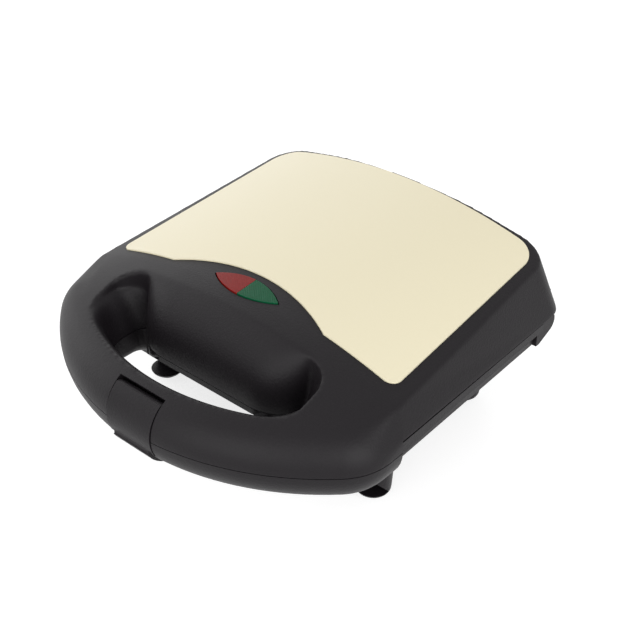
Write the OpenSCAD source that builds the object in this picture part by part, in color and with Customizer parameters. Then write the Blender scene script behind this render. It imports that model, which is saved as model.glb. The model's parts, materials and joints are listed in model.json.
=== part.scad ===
// Two-sandwich toaster: crowned lid with a loop handle, tray base, cooking
// plates with triangular pockets, and the heating gear behind each plate.
// Front (handle) is -Y, hinge is at +Y, the table is z = 0.

/* [Overall] */
// Width over the side walls
body_w = 230; // [215:1:250]
// Depth from the handle to the back of the lid
body_d = 231.8; // [222:0.1:244]
// Height of the parting line at the handle
seam_z = 58.7; // [56:0.1:62]
// Gap at the parting line
seam_gap = 0.4; // [0.3:0.1:0.8]
// From the handle's front back to the middle of its corners
corner_in = 66.544; // [60:0.1:72]
// Radius of the two front corners
corner_r = 33; // [28:1:38]
// Rounding of the handle's edge
handle_r = 22; // [19:0.5:25]

/* [Lid top] */
// Height of the crown over the middle
crown_z = 103.2; // [98:0.1:110]
// Rise of the top towards the back, in degrees
crown_tilt = 4.86; // [3:0.01:7]
// Radius of the crown from side to side
crown_r = 327; // [290:1:400]
// From the opening's rear edge back to where the top starts to fall
fall_in = 14; // [9:0.1:18]
// Radius of that fall
fall_r = 134; // [120:1:160]
// Hollow in the handle's halves: wall left round it
hollow_wall = 3; // [2.5:0.1:4]
// Thickness of the lid's wall
lid_wall = 3; // [2.4:0.1:4]
// Height of the lid's lower edge at the sides
skirt_z = 66.2; // [64.5:0.1:68]
// Inward lean of the side walls, per mm of height
side_flare = 0.42; // [0.3:0.01:0.5]
// Inward lean of the rear wall, per mm of height
rear_flare = 0.16; // [0.1:0.01:0.3]
// Narrowing of the lid from front to back, each side
side_taper = 4.4; // [2:0.1:6]
// Radius of the rear corners
rear_corner_r = 15; // [10:1:20]

/* [Hand opening] */
// From the side of the lid to the opening at the parting line
hand_side = 53; // [47:1:59]
// How much further the opening reaches at the top, each side
hand_spread = 13; // [8:0.5:15]
// Depth of the handle bar at the middle
bar_d = 22.6; // [20:0.1:26]
// Radius of the opening's front arc, less than the handle's by
hand_front_in = 40; // [25:1:50]
// Radius of the opening's front corners
hand_corner_r = 20; // [16:1:24]
// Rounding of the bar's inner top edge
bar_round = 8; // [5:0.5:10]
// Radius of the opening's rear corners
hand_rear_r = 12; // [9:1:16]
// From the handle's front back to the opening's straight rear edge at the top
crease_in = 71.3; // [68:0.1:75]
// Forward bulge of the wall behind the fingers
bulge = 18; // [12:0.5:20]
// Narrower than the opening by this, each side
bulge_side = 1; // [0.5:0.5:6]
// Radius of the bulge's ends
bulge_r = 28; // [22:1:30]

/* [Panel and lenses] */
// From the side of the lid to the panel at the front
panel_side = 15; // [14:0.5:23]
// Narrowing of the panel towards the back, each side
panel_taper = 6; // [3:0.5:8]
// From the opening's rear edge back to the panel
panel_front_in = 15.4; // [13.5:0.1:18]
// From the panel's rear edge to the back of the lid
panel_rear_in = 10; // [9:0.1:18]
// Radius of the panel's front corners
panel_front_r = 7; // [4:0.5:10]
// Radius of the panel's rear corners
panel_rear_r = 13; // [9:0.5:16]
// How far the panel stands proud of the lid
panel_proud = 0.8; // [0.4:0.1:1.2]
// Thickness of the panel
panel_t = 2; // [1.5:0.1:2.5]
// Radius of the arch in the panel's front edge
arch_r = 120; // [105:1:140]
// Depth of that arch
arch_rise = 13.2; // [10:0.1:15]
// Half length of the lens pair
lens_l = 23.4; // [20:0.1:26]
// Half width of the lens pair
lens_w = 7.8; // [6:0.1:9]
// From the panel's front edge back to the middle of the lens pair
lens_in = 1.2; // [0.5:0.1:2.5]
// How far the lenses stand proud
lens_proud = 0.6; // [0.2:0.1:1]

/* [Base] */
// Height of the base's floor from the table
floor_z = 14.5; // [12:0.5:18]
// Thickness of the base's wall and floor
base_wall = 3; // [2.4:0.1:4]
// Height of the lower edge of the base's rim
lip_z = 50; // [47:0.5:52]
// Height of the upright band on the wall behind the fingers
finger_band = 3.5; // [2:0.5:6]
// How far the tray leans in from rim to floor, each side
tray_lean = 24; // [18:0.5:28]
// Height of the ledge along each side
ledge_h = 4.6; // [3.5:0.1:6]
// How far the ledge stands out from the wall
ledge_out = 2.6; // [1.5:0.1:3.5]
// From the side of the lid to a front foot's middle
foot_side = 34; // [31:0.5:41]
// From the side of the lid to a rear foot's middle
foot_rear_side = 47; // [44:0.5:52]
// From the opening's rear edge back to the front feet
foot_front_in = 26; // [22.5:0.1:30]
// From the rear feet back to the hinge
foot_rear_in = 20.6; // [18:0.1:22]
// Radius of a foot
foot_r = 10; // [8:0.5:12]
// How far a foot runs up the sloping wall above the floor
foot_rise = 21; // [19:0.5:25]
// Radius of the rubber pad in a foot
pad_r = 6.5; // [5:0.5:7.5]
// Thickness of the rubber pad
pad_t = 3.4; // [2.5:0.1:4.5]
// How far a foot stops above the table, so that its pad stands proud
pad_proud = 1.2; // [0.8:0.1:2]
// Length of the cord inlet's collar
inlet_l = 11.5; // [9:0.5:14]
// Radius of the cord inlet in the rear wall
inlet_r = 4.5; // [3.5:0.1:6]
// Height of the cord inlet
inlet_z = 34; // [30:0.5:38]

/* [Hinge] */
// From the hinge axis to the back of the lid
hinge_in = 13.5; // [12:0.1:16]
// Hinge axis height
hinge_z = 59.3; // [58.5:0.1:60]
// Radius of the base's knuckles
knuckle_r = 6.4; // [5.5:0.1:7]
// From the side of the lid to the base's knuckles
knuckle_side = 7; // [5:0.5:10]
// Width of a base knuckle
knuckle_w = 6.4; // [5:0.1:8]
// Width of a lid knuckle
lid_knuckle_w = 13; // [9:0.5:18]
// Side gap between knuckles
knuckle_gap = 0.4; // [0.3:0.1:0.8]
// Radius of a hinge pin
pin_r = 2; // [1.5:0.1:2.5]
// Clearance round a swinging knuckle
swing_gap = 0.5; // [0.4:0.1:1]
// Running clearance round a pin
pin_gap = 0.05; // [0.02:0.01:0.1]

/* [Latch] */
// Half width of the latch clip
clip_w = 16; // [13:0.5:20]
// Half width of its finger tab
tab_w = 13; // [10:0.5:16]
// Gap round the clip
clip_gap = 0.4; // [0.3:0.1:0.6]
// Thickness of the clip
clip_t = 4.2; // [3.5:0.1:5]
// How far the clip lies below the handle's surface
clip_sunk = 0.4; // [0.2:0.1:0.8]
// Angle of the clip's pivot above the parting line
clip_pivot_a = 50; // [46:1:54]
// Angle of the wide part's lower end, below the parting line
clip_low_a = 27; // [20:1:32]
// Angle of the tab's lower end, below the parting line
tab_low_a = 62; // [54:1:68]
// Radius of the latch pin
latch_pin_r = 1.5; // [1.2:0.1:2]
// Distance of the tongue's top from the pin
tongue_r = 22; // [20:0.5:24]
// Thickness of the tongue
tongue_t = 3.5; // [2.5:0.1:4.5]
// Reach of the tongue into the base
tongue_reach = 12; // [9:0.5:13]

/* [Cooking plates] */
// From the side of the lid to a plate
plate_side = 13.5; // [13:0.5:19]
// From the opening's rear edge back to a plate
plate_front_in = 16.2; // [14.6:0.1:20]
// From a plate's rear edge back to the hinge
plate_rear_in = 15; // [13.4:0.1:20]
// Gap between the lower plate's front edge and the base
plate_room = 3.2; // [1:0.1:4]
// Corner radius of a plate
plate_r = 9; // [6:0.5:12]
// Gap between the two closed plates
plate_gap = 0.3; // [0.3:0.05:0.6]
// Thickness of a plate's flange
plate_t = 2.6; // [2:0.1:3.5]
// Depth of a plate's block behind its face
block_d = 13.5; // [12.5:0.1:15]
// Margin between the flange's edge and the block
block_in = 5; // [4:0.5:8]
// Depth of a pocket
pocket_d = 9.5; // [7:0.1:10.5]
// Draft of a pocket's sides
pocket_draft = 4; // [2:0.5:6]
// Corner radius of a pocket
pocket_r = 6; // [4:0.5:9]
// Width of the ridges between pockets
ridge_w = 7; // [5:0.5:10]

/* [Heating] */
// Radius of the heating tube
tube_r = 3.2; // [2.8:0.1:3.8]
// From a plate's front edge back to the heating loop
loop_front_in = 33.9; // [30:0.1:38]
// From a plate's side to the end of the heating loop
loop_side_in = 45.5; // [41:0.5:53]
// Gap between the plate and what lies against it
seat_gap = 0.2; // [0.1:0.05:0.3]
// Thickness of the reflector sheet
sheet_t = 0.8; // [0.6:0.1:1.2]
// From a plate's side to the reflector
sheet_side_in = 25.5; // [23.5:0.5:31]
// From a plate's front edge to the reflector
sheet_front_in = 8.9; // [7:0.1:14]
// Radius of the thermostat
thermo_r = 8.5; // [7:0.5:10]
// Height of the thermostat
thermo_h = 9; // [7:0.5:11]
// Radius of a plate post
post_r = 4.5; // [3.8:0.1:5.5]
// From a plate's side to its posts
post_side_in = 44.5; // [39:0.5:51]
// From a plate's front edge to its posts
post_front_in = 15.9; // [14:0.1:19]
// Radius of a screw's shank
screw_r = 1.8; // [1.4:0.1:2.2]
// Radius of a screw's head
head_r = 3.4; // [2.8:0.1:4]
// Height of a screw's head
head_h = 2.4; // [1.8:0.1:3]
// Length of the terminal block
block_l = 32; // [26:1:38]
// Width of the terminal block
block_w = 14; // [11:0.5:17]
// Height of the terminal block
block_h = 12; // [9:0.5:14]
// Length of the thermal fuse's body
fuse_l = 12; // [9:0.5:15]
// Radius of the thermal fuse
fuse_r = 2; // [1.5:0.1:2.5]
// From the fuse's leads to the heating tube
fuse_gap = 3.8; // [2:0.1:6]
// From the end of the heating loop's straight run to the fuse
fuse_in = 30; // [26:1:36]
// Length of a lamp's straight part
lamp_l = 11.5; // [9:0.5:13]

/* [Hidden] */

eps = 0.01;
thin = 0.1;
lap = 0.5;
front_y = -body_d / 2;
rear_y = body_d / 2;
side_x = body_w / 2;
lid_low = seam_z + seam_gap / 2;
base_top = seam_z - seam_gap / 2;
corner_x = side_x - corner_r;
corner_y = front_y + corner_in;
// front arc that runs smoothly into both corners
front_r = (pow(corner_x, 2) + pow(corner_in, 2) - pow(corner_r, 2)) / (2 * (corner_in - corner_r));
front_cy = front_y + front_r;
corner_a = asin(corner_x / (front_r - corner_r));
step_y = corner_y + 10;                 // where the skirt starts behind the handle
bar_in = front_y + bar_d;               // inner face of the handle bar
handle_cy = front_y + handle_r;         // middle of the bar's round section
crease_y = front_y + crease_in;         // rear edge of the opening at the top
fall_y = crease_y + fall_in;
hand_w = side_x - hand_side;
hand_front_r = front_r - hand_front_in;
bulge_w = hand_w - bulge_side;
panel_w = side_x - panel_side;
panel_front = crease_y + panel_front_in;
panel_rear = rear_y - panel_rear_in;
lens_y = panel_front + lens_in;
hinge_y = rear_y - hinge_in;
knuckle_x = side_x - knuckle_side;
foot_x = side_x - foot_side;
foot_rear_x = side_x - foot_rear_side;
foot_front_y = crease_y + foot_front_in;
foot_rear_y = hinge_y - foot_rear_in;
plate_w = side_x - plate_side;
plate_front = crease_y + plate_front_in;
plate_rear = hinge_y - plate_rear_in;
plate_cy = (plate_front + plate_rear) / 2;
plate_half = (plate_rear - plate_front) / 2;
loop_r = plate_half - loop_front_in;
loop_l = plate_w - loop_side_in;
sheet_w = plate_w - sheet_side_in;
sheet_d = plate_half - sheet_front_in;
post_x = plate_w - post_side_in;
post_y = plate_half - post_front_in;
ledge_top = skirt_z - 2 * seam_gap;
plate_z = skirt_z - seam_gap;           // middle of the gap between the plates
plastic = [0.16, 0.16, 0.17];
cast = [0.2, 0.2, 0.21];
steel = [0.75, 0.76, 0.78];

function crown_at(y) = crown_z + tan(crown_tilt) * y;
function fall_at(y) = y < fall_y ? fall_r - sqrt(pow(fall_r, 2) - pow(fall_y - y, 2)) : 0;
function droop(x) = crown_r - sqrt(pow(crown_r, 2) - pow(x, 2));
function arc(cx, cy, r, a0, a1, n) =
    [for (i = [0:n]) let (a = a0 + (a1 - a0) * i / n) [cx + r * cos(a), cy + r * sin(a)]];
function mirrored(pts) = [for (i = [len(pts) - 1:-1:0]) if (pts[i][0] > eps) [-pts[i][0], pts[i][1]]];

// Right half of an outline with a front arc, rounded front and rear corners
function bow_half(w, yf, rf, rc, yr, rr) =
    let (cx = w - rc, cy = yf + rf - sqrt(pow(rf - rc, 2) - pow(cx, 2)), a = asin(cx / (rf - rc)))
    concat(arc(0, yf + rf, rf, -90, -90 + a, 12), arc(cx, cy, rc, -90 + a, 0, 8),
        arc(w - rr, yr - rr, rr, 0, 90, 6));
module bow(w, yf, rf, rc, yr, rr) {
    half = bow_half(w, yf, rf, rc, yr, rr);
    polygon(concat(half, mirrored(half)));
}

// A slab with a straight front edge, tapering sides and round rear corners
module slab(wf, wr, y0, y1, r, z, t = thin) {
    translate([0, 0, z]) linear_extrude(t) slab_outline(wf, wr, y0, y1, r);
}
module slab_outline(wf, wr, y0, y1, r, rf = 0.5) {
    half = concat(arc(wf - rf, y0 + rf, rf, -90, 0, 3), arc(wr - r, y1 - r, r, 0, 90, 8));
    polygon(concat(half, mirrored(half)));
}

// Rounded rectangle with true arcs
module round_rect(w, y0, y1, r) {
    translate([-w + r, y0]) square([2 * (w - r), y1 - y0]);
    translate([-w, y0 + r]) square([2 * w, y1 - y0 - 2 * r]);
    for (x = [-w + r, w - r], y = [y0 + r, y1 - r]) translate([x, y]) circle(r, $fn = 48);
}

// Solid under the crowned top, lowered by drop
module under_crown(drop = 0, fn = 160) {
    translate([0, 0, crown_z - drop]) rotate([crown_tilt, 0, 0]) translate([0, 0, -crown_r])
        rotate([90, 0, 0]) cylinder(r = crown_r, h = 2 * body_d, center = true, $fn = fn);
}

// Half of the bar's round section, above (1) or below (-1) the parting line
module half_disc(side) {
    intersection() {
        circle(handle_r, $fn = 40);
        translate([-handle_r, side > 0 ? 0 : -handle_r]) square([2 * handle_r, handle_r]);
    }
}
module rim_tube(side) {
    translate([0, 0, side > 0 ? lid_low : base_top]) {
        translate([0, front_cy]) rotate(-90 - corner_a) rotate_extrude(angle = 2 * corner_a, $fn = 150)
            translate([front_r - handle_r, 0]) half_disc(side);
        for (m = [0, 1]) mirror([m, 0, 0]) {
            translate([corner_x, corner_y]) rotate(-90 + corner_a)
                rotate_extrude(angle = 90 - corner_a, $fn = 112) intersection() {
                    translate([corner_r - handle_r, 0]) half_disc(side);
                    translate([1, -handle_r]) square([corner_r, 2 * handle_r]);
                }
            translate([side_x - handle_r, step_y]) rotate([90, 0, 0])
                linear_extrude(step_y - corner_y) half_disc(side);
        }
    }
}

// Crowned strip across the lid where its top falls to the handle
module fall_strip(y, w) {
    translate([0, y, crown_at(y) - fall_at(y)]) rotate([90, 0, 0]) linear_extrude(thin)
        polygon(concat([for (i = [-8:8]) let (x = w * i / 8) [x, -droop(x)]], [[w, -30], [-w, -30]]));
}

module lid_form() {
    top = crown_at(rear_y) + 5;
    rise = top - skirt_z;
    hull() {
        intersection() {
            hull() {
                slab(side_x, side_x - side_taper, step_y, rear_y, rear_corner_r, skirt_z);
                slab(side_x - rise * side_flare, side_x - side_taper - rise * side_flare * 0.88,
                    fall_y, rear_y - rise * rear_flare, rear_corner_r * 0.8, top);
            }
            under_crown();
        }
        rim_tube(1);
        for (i = [0:4]) fall_strip(fall_y - i * 11, side_x - 15 - i * i * 1.4);
    }
}

// Front of the bulge at a place across it
function bulge_front(x) = crease_y - bulge + bulge_r
    - sqrt(pow(bulge_r, 2) - pow(max(0, abs(x) - (bulge_w - bulge_r)), 2));
bulge_steps = [for (i = [-10:10]) (bulge_w - 2) * sin(9 * i)];
bulge_back = crease_y + 30;
module bulge_plan() {
    polygon(concat([for (x = bulge_steps) [x, bulge_front(x)]],
        [[bulge_w - 2, bulge_back], [2 - bulge_w, bulge_back]]));
}
// The wall behind the fingers, swept from profiles side by side
module bulge_form() {
    z0 = seam_z - handle_r;
    end = 62;
    over = 12;
    hull() for (x = bulge_steps) {
        b = max(1.5, crease_y - bulge_front(x)) / (1 - cos(end));
        h = (crown_at(crease_y) - fall_at(crease_y) - droop(x) - lid_low) / sin(end);
        far = over * b * tan(end) / h;
        translate([x, 0, 0]) rotate([90, 0, 90]) linear_extrude(thin, center = true) polygon(concat(
            [[bulge_back, z0], [crease_y - b * (1 - cos(end)), z0]],
            [for (j = [0:8]) let (a = end * j / 8)
                [crease_y - b * (cos(a) - cos(end)), lid_low + h * sin(a)]],
            [[crease_y + far, lid_low + h * sin(end) + over], [bulge_back, lid_low + h * sin(end) + over]]));
    }
}

// Opening for the fingers at a height, t from 0 below the crest's rounding to 1 at the crest;
// each level starts a little inside the one below it
module hand_straight(in = 0) {
    bow(hand_w - in, bar_in + in, hand_front_r, hand_corner_r, crease_y, hand_rear_r);
}
module hand_level(t, in = 0) {
    bow(hand_w + hand_spread * (0.45 + 0.5 * t) - in, bar_in - bar_round * (1 - cos(90 * t)) + in,
        hand_front_r, hand_corner_r, crease_y, hand_rear_r + hand_spread * t / 4);
}
module hand_hole() {
    crest = lid_low + handle_r;
    translate([0, 0, seam_z - 2 * handle_r]) linear_extrude(2 * handle_r + seam_gap) hand_straight();
    hull() {
        translate([0, 0, lid_low - lap]) linear_extrude(thin) hand_straight(thin);
        translate([0, 0, crest - bar_round]) linear_extrude(thin) hand_level(0);
    }
    for (i = [0:1]) hull() {
        translate([0, 0, crest - bar_round * (1 - sin(45 * i)) - lap]) linear_extrude(thin) hand_level(i / 2, thin);
        translate([0, 0, crest - bar_round * (1 - sin(45 * i + 45))]) linear_extrude(thin) hand_level(i / 2 + 0.5);
    }
    translate([0, 0, crest - lap]) linear_extrude(crown_z) hand_level(1, thin);
}

// Places a profile drawn in (y, z) across the object, half width w
module across(w) {
    translate([-w, 0, 0]) rotate([90, 0, 90]) linear_extrude(2 * w) children();
}
module ring(r0, r1) {
    difference() { circle(r1, $fn = 96); circle(r0, $fn = 96); }
}
// Sector of the (y, z) plane seen from the bar's middle; angles rise from -Y
module sector(a0, a1, r = 60) {
    polygon(concat([[0, 0]], [for (i = [0:6]) let (a = a0 + (a1 - a0) * i / 6) [-r * cos(a), r * sin(a)]]));
}
clip_out = handle_r - clip_sunk;
clip_in = clip_out - clip_t;
pivot_r = clip_out - 4.1;
pivot = [handle_cy - pivot_r * cos(clip_pivot_a), seam_z + pivot_r * sin(clip_pivot_a)];
boss_r = clip_out - pivot_r;
clip_top_a = clip_pivot_a + 8;

module clip_band(r0, r1, a0, a1) {
    translate([handle_cy, seam_z]) intersection() { ring(r0, r1); sector(a0, a1); }
}

// What the clip needs to swing, cut from the handle of lid and base
module clip_room() {
    across(clip_w + clip_gap) clip_band(clip_in - clip_gap, handle_r + 6, -clip_low_a - 2, clip_top_a);
    across(clip_w + clip_gap) translate(pivot) circle(boss_r + 1.5, $fn = 64);
    across(tab_w + clip_gap) clip_band(clip_in - clip_gap, handle_r + 6, -tab_low_a - 8, 0);
    across(tab_w + clip_gap) tongue(clip_gap);
}
module tongue(grow = 0) {
    intersection() {
        translate(pivot) ring(tongue_r - grow, tongue_r + tongue_t + grow);
        translate([pivot[0] - 9 - 2 * grow, seam_z - handle_r])
            square([tongue_reach + 3 * grow, handle_r]);
    }
}

module lid_shell() color(plastic) {
    difference() {
        lid_form();
        difference() { hand_hole(); bulge_form(); }
        // the skirt stops short behind the handle, where the base's ledge rises
        translate([-body_w, step_y, 0]) cube([2 * body_w, body_d, skirt_z]);
        lid_room();
        handle_hollows(1);
        lamp_room();
        panel_seat();
        translate([0, 0, seam_z + 20]) linear_extrude(60) lens_outline(0.15);
        clip_room();
        across(clip_w + clip_gap + 5) translate(pivot) circle(latch_pin_r + pin_gap, $fn = 48);
        upper_screw_holes();
    }
    lid_posts();
    lid_knuckles();
}

// Hollows in the handle's upper (1) or lower (-1) half, either side of the latch
module handle_hollows(side) {
    w = hollow_wall;
    h = handle_r - w;
    from = asin((clip_w + 3 * w) / (front_r - handle_r));
    translate([0, 0, side > 0 ? lid_low : base_top]) for (m = [0, 1]) mirror([m, 0, 0]) {
        translate([0, front_cy]) rotate(-90 + from)
            rotate_extrude(angle = corner_a - 3 - from, $fn = 150) scale_z(side)
            polygon([[front_r - handle_r + w, -1], [front_r - handle_r + w, h * 0.8],
                [front_r - handle_r / 2, h * 0.8], [front_r - 2 * w, h * 0.5], [front_r - 2 * w, -1]]);
        mirror([0, 0, side > 0 ? 0 : 1]) translate([0, 0, -1]) linear_extrude(h * 0.6 + 1)
            polygon([[side_x - 2 * w, step_y - w], [side_x - 2 * w, corner_y], [side_x - 17, corner_y - 19],
                [side_x - 33, corner_y - 28], [side_x - 33, step_y - w]]);
    }
}
module scale_z(side) { mirror([0, side > 0 ? 0 : 1]) children(); }

// Room for the upper plate and its gear
module lid_room() {
    w = side_x - lid_wall;
    tall = 50;
    intersection() {
        hull() {
            slab(w, w - side_taper, plate_front - 1, rear_y - lid_wall, rear_corner_r - lid_wall,
                seam_z - 5, skirt_z + 4 - seam_z);
            slab(w - tall * side_flare, w - side_taper - tall * side_flare, plate_front - 1,
                rear_y - lid_wall - tall * rear_flare, rear_corner_r - lid_wall, skirt_z + tall);
        }
        under_crown(lid_wall + panel_t);
    }
}
module lamp_room() {
    intersection() {
        translate([-lens_l - 8, lens_y - lens_w - 3, skirt_z + 10])
            cube([2 * lens_l + 16, 2 * lens_w + 6, 60]);
        under_crown(lid_wall);
    }
}
module panel_seat() {
    difference() {
        linear_extrude(2 * body_w) panel_outline(0.15);
        under_crown(panel_t - panel_proud + 0.15);
    }
}
module panel_outline(grow = 0) {
    wf = panel_w + grow;
    wr = panel_w - panel_taper + grow;
    half = concat(
        arc(wf - panel_front_r, panel_front - grow + panel_front_r, panel_front_r, -90, 0, 8),
        arc(wr - panel_rear_r, panel_rear + grow - panel_rear_r, panel_rear_r, 0, 90, 10));
    difference() {
        polygon(concat(half, mirrored(half)));
        translate([0, panel_front + arch_rise - arch_r]) circle(arch_r - grow, $fn = 128);
    }
}
module top_panel() color([0.93, 0.9, 0.75]) {
    difference() {
        intersection() {
            translate([0, 0, seam_z]) linear_extrude(body_w) panel_outline();
            under_crown(-panel_proud);
        }
        under_crown(panel_t - panel_proud);
    }
}

// Pointed ellipse of the lens pair
module lens_outline(grow = 0) {
    r = (pow(lens_l, 2) + pow(lens_w, 2)) / (2 * lens_w);
    translate([0, lens_y]) intersection() {
        translate([0, r - lens_w]) circle(r + grow, $fn = 128);
        translate([0, lens_w - r]) circle(r + grow, $fn = 128);
    }
}
module lens(side) {
    difference() {
        intersection() {
            translate([0, 0, seam_z]) linear_extrude(body_w) lens_outline(-0.05);
            translate([side > 0 ? 0.1 : -2 * lens_l, lens_y - lens_l, seam_z])
                cube([2 * lens_l - 0.1, 2 * lens_l, body_w]);
            under_crown(-lens_proud);
        }
        under_crown(lid_wall);
    }
}
module red_lens() color([0.75, 0.12, 0.1]) lens(-1);
module green_lens() color([0.05, 0.45, 0.2]) lens(1);

lamp_z = crown_at(lens_y) - lid_wall - 7.5;
module lamp_holder() color([0.9, 0.9, 0.86]) {
    difference() {
        translate([-lens_l, lens_y - lens_w - 1, lamp_z - 5])
            cube([2 * lens_l, 2 * lens_w + 1, 9]);
        for (m = [0, 1]) mirror([m, 0, 0]) {
            translate([lens_l / 2, lens_y, lamp_z - 6]) cylinder(r = 3.2, h = 12, $fn = 48);
            translate([1.5, lens_y - lens_w + 1, lamp_z]) cube([lens_l - 4, 2 * lens_w - 3, 10]);
        }
    }
    for (m = [0, 1]) mirror([m, 0, 0]) translate([lens_l, lens_y - 3, lamp_z - 5])
        cube([lid_wall + 5 - 0.3, 6, 3]);
}
module neon_lamps() color([0.95, 0.7, 0.5]) {
    for (m = [0, 1]) mirror([m, 0, 0]) translate([lens_l / 2, lens_y, lamp_z - 9]) {
        cylinder(r = 3, h = lamp_l, $fn = 48);
        translate([0, 0, lamp_l]) sphere(r = 3, $fn = 48);
    }
}

// Lid knuckles hang behind the plates on a web to the rear wall
lid_knuckle_x = knuckle_x - knuckle_w - knuckle_gap - lid_knuckle_w;
module along_hinge(x, l, r) {
    translate([x, hinge_y, hinge_z]) rotate([0, 90, 0]) cylinder(r = r, h = l, $fn = 64);
}
module lid_knuckles() {
    for (m = [0, 1]) mirror([m, 0, 0]) difference() {
        union() {
            along_hinge(lid_knuckle_x, lid_knuckle_w, knuckle_r);
            translate([lid_knuckle_x, hinge_y - knuckle_r, hinge_z])
                cube([lid_knuckle_w, 2 * knuckle_r, skirt_z + 8 - hinge_z]);
            translate([lid_knuckle_x, hinge_y - knuckle_r, skirt_z])
                cube([lid_knuckle_w, rear_y - lid_wall - hinge_y + knuckle_r, 8]);
        }
        along_hinge(lid_knuckle_x - 1, lid_knuckle_w + 2, pin_r + pin_gap);
    }
}
module hinge_pins() color(steel) {
    for (m = [0, 1]) mirror([m, 0, 0])
        along_hinge(lid_knuckle_x + 1.5, knuckle_x - lid_knuckle_x - 2.7, pin_r);
}

module latch_clip() color(plastic) {
    difference() {
        union() {
            across(clip_w) {
                clip_band(clip_in, clip_out, -clip_low_a, clip_top_a - 3);
                translate(pivot) circle(boss_r, $fn = 64);
            }
            across(tab_w) {
                clip_band(clip_in, clip_out + 1.6, -tab_low_a, -clip_low_a + 1);
                tongue();
            }
        }
        across(clip_w + 1) translate(pivot) circle(latch_pin_r + pin_gap, $fn = 48);
    }
}
module latch_pin() color(steel) {
    across(clip_w + clip_gap + 4) translate(pivot) circle(latch_pin_r, $fn = 48);
}

// One triangular pocket in the corner of a square of half side h
module pocket(h) {
    r = pocket_r + pocket_draft / 2;
    in = h - r - 1;
    far = in - sqrt(2) * (ridge_w / 2 + r);
    hull() for (p = [[-in, -in], [far, -in], [-in, far]]) translate([p[0], p[1], -pocket_d])
        cylinder(r1 = pocket_r - pocket_draft / 2, r2 = r + pocket_draft / pocket_d, h = pocket_d + 1, $fn = 28);
}
// A cooking plate, face up at z = 0, its block below
module plate() {
    half_x = (plate_w - block_in - ridge_w / 2) / 2;
    half_y = (plate_rear - plate_front) / 2 - block_in;
    difference() {
        union() {
            translate([0, 0, -plate_t]) linear_extrude(plate_t)
                round_rect(plate_w, plate_front, plate_rear, plate_r);
            translate([0, 0, -block_d]) linear_extrude(block_d - plate_t / 2)
                round_rect(plate_w - block_in, plate_front + block_in, plate_rear - block_in, plate_r);
            for (x = [-post_x, post_x], y = [-post_y, post_y]) translate([x, plate_cy + y, -block_d - 9])
                cylinder(r = post_r, h = 10, $fn = 48);
        }
        for (m = [0, 1]) mirror([m, 0, 0]) translate([ridge_w / 2 + half_x, plate_cy, 0])
            for (t = [0, 180]) rotate(t) pocket(min(half_x, half_y));
        for (x = [-post_x, post_x], y = [-post_y, post_y])
            translate([x, plate_cy + y, -block_d - 10]) cylinder(r = screw_r, h = 10, $fn = 32);
    }
}
module flipped() { translate([0, 0, plate_z + plate_gap / 2]) mirror([0, 0, 1]) children(); }
module upright() { translate([0, 0, plate_z - plate_gap / 2]) children(); }
module lower_plate() color(cast) upright() plate();
module upper_plate() color(cast) flipped() plate();

// Heating tube: two straight runs, a round bend and two terminal pins
module element() {
    z = -block_d - seat_gap - tube_r;
    for (y = [-loop_r, loop_r]) translate([-loop_l, plate_cy + y, z]) rotate([0, 90, 0])
        cylinder(r = tube_r, h = 2 * loop_l - loop_r, $fn = 48);
    translate([loop_l - loop_r, plate_cy, z]) rotate(-90) rotate_extrude(angle = 180, $fn = 96)
        translate([loop_r, 0]) circle(tube_r, $fn = 48);
    for (y = [-loop_r, loop_r]) translate([-loop_l - 12, plate_cy + y, z]) rotate([0, 90, 0])
        cylinder(r = tube_r / 2, h = 13, $fn = 32);
}
module lower_element() color([0.45, 0.44, 0.42]) upright() element();
module upper_element() color([0.45, 0.44, 0.42]) flipped() element();

// Reflector: a shallow folded tray behind the heating tube
module reflector() {
    z = -block_d - 2 * seat_gap - 2 * tube_r - sheet_t;
    difference() {
        translate([0, 0, z]) linear_extrude(sheet_t + 5)
            round_rect(sheet_w, plate_cy - sheet_d, plate_cy + sheet_d, plate_r);
        translate([0, 0, z + sheet_t]) linear_extrude(6)
            round_rect(sheet_w - sheet_t, plate_cy - sheet_d + sheet_t, plate_cy + sheet_d - sheet_t,
                plate_r - sheet_t);
        for (x = [-post_x, post_x], y = [-post_y, post_y]) translate([x, plate_cy + y, z - 1])
            cylinder(r = post_r + 0.3, h = 10, $fn = 48);
        translate([0, plate_cy, z - 1]) cylinder(r = thermo_r + 0.5, h = 10, $fn = 64);
    }
}
module lower_reflector() color(steel) upright() reflector();
module upper_reflector() color(steel) flipped() reflector();

module thermostat() color([0.82, 0.8, 0.74]) flipped() translate([0, plate_cy, -block_d - seat_gap]) {
    translate([0, 0, -thermo_h]) cylinder(r = thermo_r, h = thermo_h, $fn = 64);
    for (s = [-1, 1]) translate([s * 5 - 3, -0.4, -thermo_h - 5]) cube([6, 0.8, 6]);
}
module thermal_fuse() color([0.85, 0.83, 0.8]) flipped()
    translate([loop_l - fuse_in, plate_cy, -block_d - seat_gap - fuse_r]) rotate([90, 0, 0]) {
        cylinder(r = fuse_r, h = fuse_l, center = true, $fn = 40);
        cylinder(r = 0.3 * fuse_r, h = 2 * (loop_r - tube_r - fuse_gap), center = true, $fn = 24);
    }

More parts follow.
